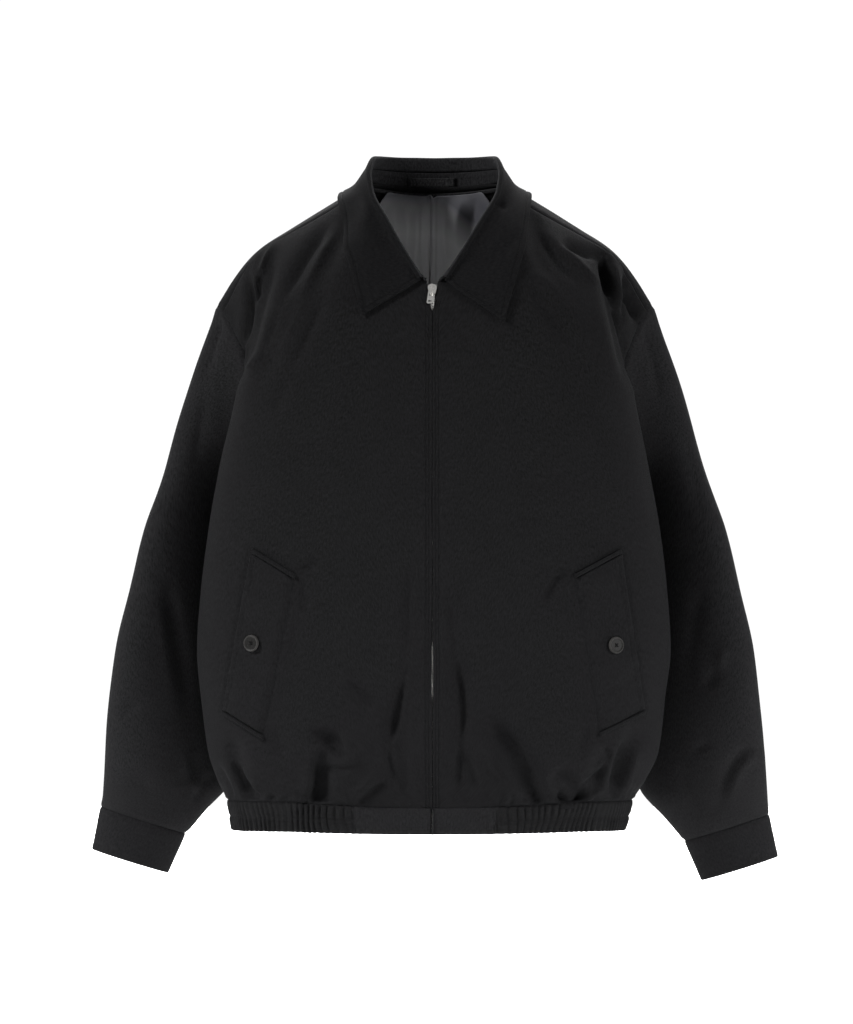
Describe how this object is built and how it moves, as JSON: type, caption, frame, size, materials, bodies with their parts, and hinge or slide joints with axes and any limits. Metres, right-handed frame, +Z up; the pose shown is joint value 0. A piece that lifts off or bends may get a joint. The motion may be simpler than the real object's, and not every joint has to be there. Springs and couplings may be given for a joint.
{
  "type": "jacket",
  "caption": "Hollow worn-form harrington jacket with a zip front, turned-down collar, flap pockets, elastic hem and buttonless cuffs.",
  "frame": {"origin": "where the jacket is held on its wearer: in the middle of the neck, level with the neck seam at the back", "axes": "+Z up, -Y out of the jacket's front, +X to the right of someone who faces it"},
  "size_m": [0.7358, 0.2784, 0.7773],
  "materials": {
    "cotton": "matt black cotton twill",
    "lining": "dark grey satin lining",
    "tape": "black woven tape",
    "nickel": "polished nickel",
    "horn": "dark horn-effect plastic"
  },
  "bodies": {
    "jacket": {"back": "cotton", "button_left": "horn", "button_right": "horn", "collar_leaf": "cotton", "collar_stand": "cotton", "cuff_left": "cotton", "cuff_right": "cotton", "front_left": "cotton", "front_right": "cotton", "hanger_loop": "tape", "hem_elastic": "cotton", "hem_plain_left": "cotton", "hem_plain_right": "cotton", "lining_back": "lining", "neck_tape": "tape", "pocket_end_lower_left": "cotton", "pocket_end_lower_right": "cotton", "pocket_end_upper_left": "cotton", "pocket_end_upper_right": "cotton", "pocket_flap_left": "cotton", "pocket_flap_right": "cotton", "sleeve_left": "cotton", "sleeve_right": "cotton", "zip_slider": "nickel", "zip_tape_left": "tape", "zip_tape_right": "tape", "zip_teeth_left": "nickel", "zip_teeth_right": "nickel"},
    "pull_tab": {"pull_tab": "nickel"}
  },
  "joints": [
    {"name": "pull_tab_swing", "type": "hinge", "parent": "jacket", "child": "pull_tab", "pos_m": [-0.003, -0.11854, -0.10602], "axis": [-0.9925, 0.0673, 0.1016], "range_deg": [0, 150]}
  ]
}
